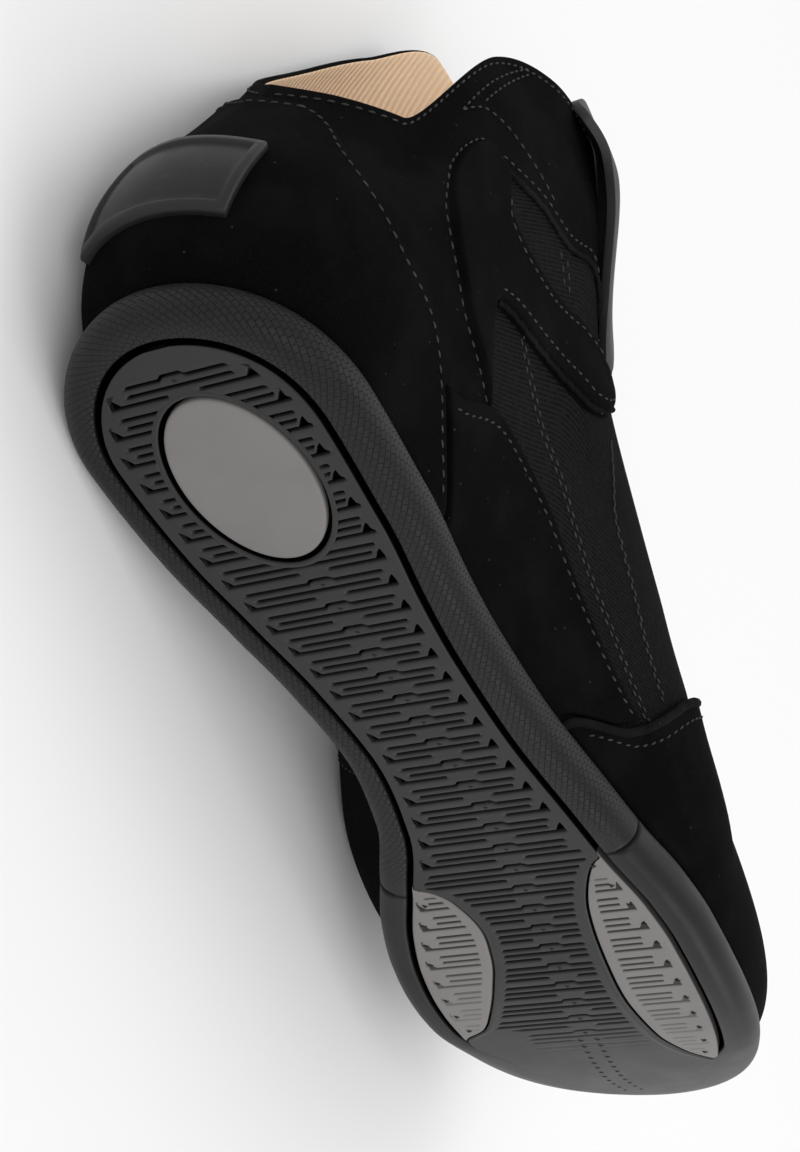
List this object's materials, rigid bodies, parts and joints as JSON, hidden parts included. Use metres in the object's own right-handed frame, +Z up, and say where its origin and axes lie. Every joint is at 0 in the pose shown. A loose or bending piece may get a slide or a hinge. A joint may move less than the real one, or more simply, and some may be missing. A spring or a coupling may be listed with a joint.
{
  "type": "high-top sneaker",
  "caption": "Right high-top sneaker with a thin flat rubber sole, a hollow suede upper and an ankle strap, lying empty on its inner side; worn on the foot.",
  "frame": {"origin": "centre of the bounding box on the floor that the shoe lies on", "axes": "+X runs along the foot towards the toe, +Z up from the floor, and the sole faces -Y"},
  "size_m": [0.3194, 0.1774, 0.1049],
  "materials": {
    "suede": "matt black suede",
    "rim_rubber": "matt dark grey",
    "tread_rubber": "satin dark grey",
    "pad_rubber": "smooth mid grey",
    "lining": "ribbed tan textile",
    "strap": "smooth dark grey webbing",
    "badge": "satin dark grey"
  },
  "bodies": {
    "root": {"sole_cup": "rim_rubber", "tread_plate": "tread_rubber", "heel_pad": "pad_rubber", "forefoot_pad_medial": "pad_rubber", "forefoot_pad_lateral": "pad_rubber", "insole": "lining", "upper": "suede", "heel_counter": "suede", "toe_vamp": "suede", "side_panel_lateral": "suede", "side_panel_medial": "suede", "ankle_panel_lateral": "suede", "ankle_panel_medial": "suede", "tongue": "lining", "ankle_strap": "strap", "heel_badge": "badge"}
  },
  "joints": []
}
